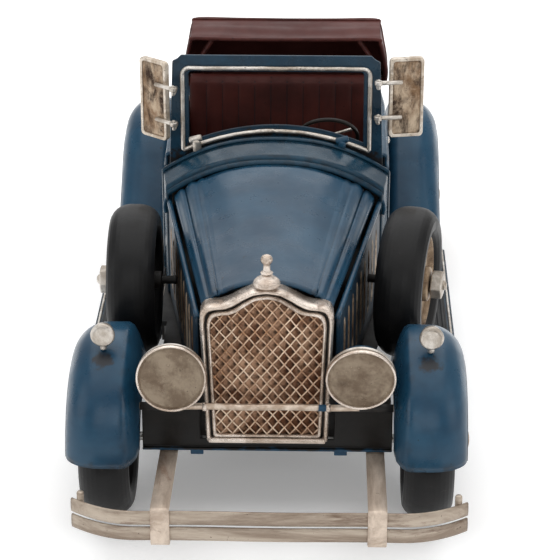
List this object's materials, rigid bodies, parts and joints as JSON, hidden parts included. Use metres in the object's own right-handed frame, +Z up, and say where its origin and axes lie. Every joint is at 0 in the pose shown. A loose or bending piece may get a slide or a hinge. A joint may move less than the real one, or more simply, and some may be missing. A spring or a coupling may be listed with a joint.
{
  "type": "friction tin car",
  "caption": "Pressed-tin open roadster with side-mounted spare wheels, folded top, wind wings, bar bumpers and a flywheel friction drive on the rear axle.",
  "frame": {"origin": "centre of the bounding box, on the ground under the tyres", "axes": "+Z up, -Y the way the car drives, +X the car's own left (the steering wheel's side)"},
  "size_m": [0.1388, 0.3244, 0.1242],
  "materials": {
    "blue_enamel": "semi-gloss dark blue enamel, slightly worn",
    "silver_trim": "dull silver plate with brown patina",
    "grille_bronze": "antiqued bronze and silver mesh",
    "burgundy_enamel": "satin burgundy enamel",
    "seat_burgundy": "satin dark burgundy enamel",
    "tyre_black": "plain matt black",
    "black_enamel": "satin black enamel",
    "bright_steel": "plain machined steel",
    "gear_brass": "plain machined brass"
  },
  "bodies": {
    "car": {"radiator_shell": "silver_trim", "radiator_cap": "silver_trim", "mascot": "silver_trim", "windscreen_bead": "silver_trim", "headlamp_bar": "silver_trim", "bumper_blade_lower": "silver_trim", "bumper_blade_upper": "silver_trim", "rear_bumper": "silver_trim", "headlamp_lens_left": "silver_trim", "headlamp_lens_right": "silver_trim", "marker_lamp_left": "silver_trim", "marker_lamp_right": "silver_trim", "tail_lamp_left": "silver_trim", "tail_lamp_right": "silver_trim", "bumper_iron_left": "silver_trim", "bumper_iron_right": "silver_trim", "spare_wheel_disc_left": "silver_trim", "spare_wheel_disc_right": "silver_trim", "spare_bolt_left": "silver_trim", "spare_bolt_right": "silver_trim", "grille_mesh": "grille_bronze", "bonnet_top": "blue_enamel", "cowl": "blue_enamel", "windscreen_frame": "blue_enamel", "body_tub": "blue_enamel", "bonnet_side_left": "blue_enamel", "bonnet_side_right": "blue_enamel", "front_fender_left": "blue_enamel", "front_fender_right": "blue_enamel", "rear_fender_left": "blue_enamel", "rear_fender_right": "blue_enamel", "headlamp_can_left": "blue_enamel", "headlamp_can_right": "blue_enamel", "folded_top": "burgundy_enamel", "front_seat": "seat_burgundy", "floor_pan": "black_enamel", "front_apron": "black_enamel", "dashboard": "black_enamel", "steering_column": "black_enamel", "running_board_left": "black_enamel", "running_board_right": "black_enamel", "spare_tyre_left": "tyre_black", "spare_tyre_right": "tyre_black", "front_axle": "bright_steel", "motor_frame": "bright_steel"},
    "front_wheel_left": {"front_tyre_left": "tyre_black", "front_wheel_disc_left": "silver_trim"},
    "front_wheel_right": {"front_tyre_right": "tyre_black", "front_wheel_disc_right": "silver_trim"},
    "rear_wheels": {"rear_axle": "bright_steel", "axle_gear": "gear_brass", "rear_tyre_left": "tyre_black", "rear_tyre_right": "tyre_black", "rear_wheel_disc_left": "silver_trim", "rear_wheel_disc_right": "silver_trim"},
    "layshaft": {"layshaft": "gear_brass"},
    "flywheel": {"flywheel": "bright_steel"},
    "steering_wheel": {"steering_wheel": "black_enamel"},
    "wind_wing_left": {"wind_wing_left": "silver_trim"},
    "wind_wing_right": {"wind_wing_right": "silver_trim"}
  },
  "joints": [
    {"name": "front_left_spin", "type": "hinge", "parent": "car", "child": "front_wheel_left", "pos_m": [0.0548, -0.108, 0.0273], "axis": [1, 0, 0], "continuous": true},
    {"name": "front_right_spin", "type": "hinge", "parent": "car", "child": "front_wheel_right", "pos_m": [-0.0548, -0.108, 0.0273], "axis": [1, 0, 0], "continuous": true},
    {"name": "rear_axle_spin", "type": "hinge", "parent": "car", "child": "rear_wheels", "pos_m": [0, 0.1105, 0.0273], "axis": [1, 0, 0], "continuous": true},
    {"name": "layshaft_spin", "type": "hinge", "parent": "car", "child": "layshaft", "pos_m": [0, 0.09752, 0.03254], "axis": [1, 0, 0], "continuous": true},
    {"name": "flywheel_spin", "type": "hinge", "parent": "car", "child": "flywheel", "pos_m": [0, 0.08413, 0.03664], "axis": [1, 0, 0], "continuous": true},
    {"name": "steering_wheel_turn", "type": "hinge", "parent": "car", "child": "steering_wheel", "pos_m": [0.02, 0.033, 0.084], "axis": [0, 0.8192, 0.5736], "continuous": true},
    {"name": "wind_wing_left_swing", "type": "hinge", "parent": "car", "child": "wind_wing_left", "pos_m": [0.0389, 0.0086, 0.108], "axis": [0, 0, 1], "range_deg": [-40, 30]},
    {"name": "wind_wing_right_swing", "type": "hinge", "parent": "car", "child": "wind_wing_right", "pos_m": [-0.0389, 0.0086, 0.105], "axis": [0, 0, 1], "range_deg": [-2, 68]}
  ],
  "couplings": [
    {"joint": "layshaft_spin", "follows": "rear_axle_spin", "ratio": -3},
    {"joint": "flywheel_spin", "follows": "rear_axle_spin", "ratio": 9}
  ]
}
